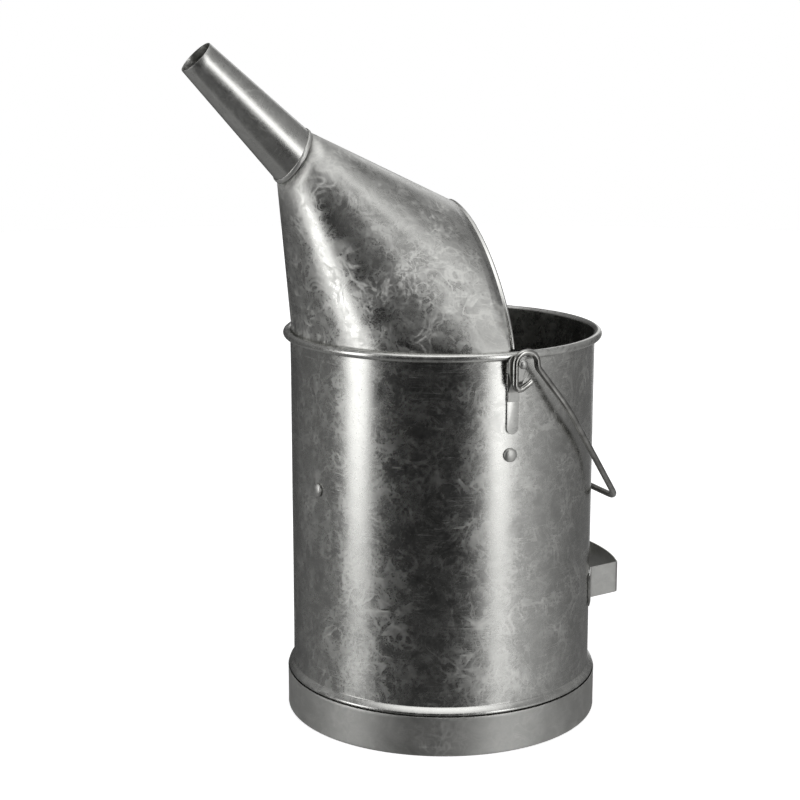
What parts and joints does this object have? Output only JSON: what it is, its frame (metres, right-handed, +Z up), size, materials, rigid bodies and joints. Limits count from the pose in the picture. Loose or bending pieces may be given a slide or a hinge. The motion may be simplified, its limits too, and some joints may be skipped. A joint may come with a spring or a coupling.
{
  "type": "pouring can",
  "caption": "Galvanised sheet-steel pouring can with a half hood, long tapered spout, folding wire bail, bent-strap tipping handle and foot hoop.",
  "frame": {"origin": "on the floor under the can, midway between the spout's tip and the back of the tipping handle", "axes": "+Z up the can, -X the way the spout points, -Y the can's left side as seen from behind it"},
  "size_m": [0.4028, 0.3068, 0.6025],
  "materials": {
    "galvanised_sheet": "hot-dip galvanised, mottled spangle, lightly scratched",
    "dull_galvanised": "galvanised, weathered and dull",
    "steel_wire": "darkened steel wire, semi-polished",
    "tinned_joint": "tinned and wiped, satin",
    "rivet_steel": "round steel heads, tinned"
  },
  "bodies": {
    "can": {"body_shell": "galvanised_sheet", "rim_wire": "steel_wire", "bottom_disc": "dull_galvanised", "foot_hoop": "galvanised_sheet", "hood": "galvanised_sheet", "hood_edge_roll": "galvanised_sheet", "spout": "galvanised_sheet", "spout_collar": "tinned_joint", "left_ear_strap": "galvanised_sheet", "right_ear_strap": "galvanised_sheet", "left_ear_lug": "dull_galvanised", "right_ear_lug": "dull_galvanised", "left_bail_pin": "rivet_steel", "right_bail_pin": "rivet_steel", "tipping_handle": "galvanised_sheet", "side_level_rivet": "rivet_steel", "front_level_rivet": "rivet_steel"},
    "bail": {"bail": "steel_wire"}
  },
  "joints": [
    {"name": "bail_hinge", "type": "hinge", "parent": "can", "child": "bail", "pos_m": [0.03732, 0, 0.343], "axis": [0, -1, 0], "range_deg": [0, 160]}
  ]
}
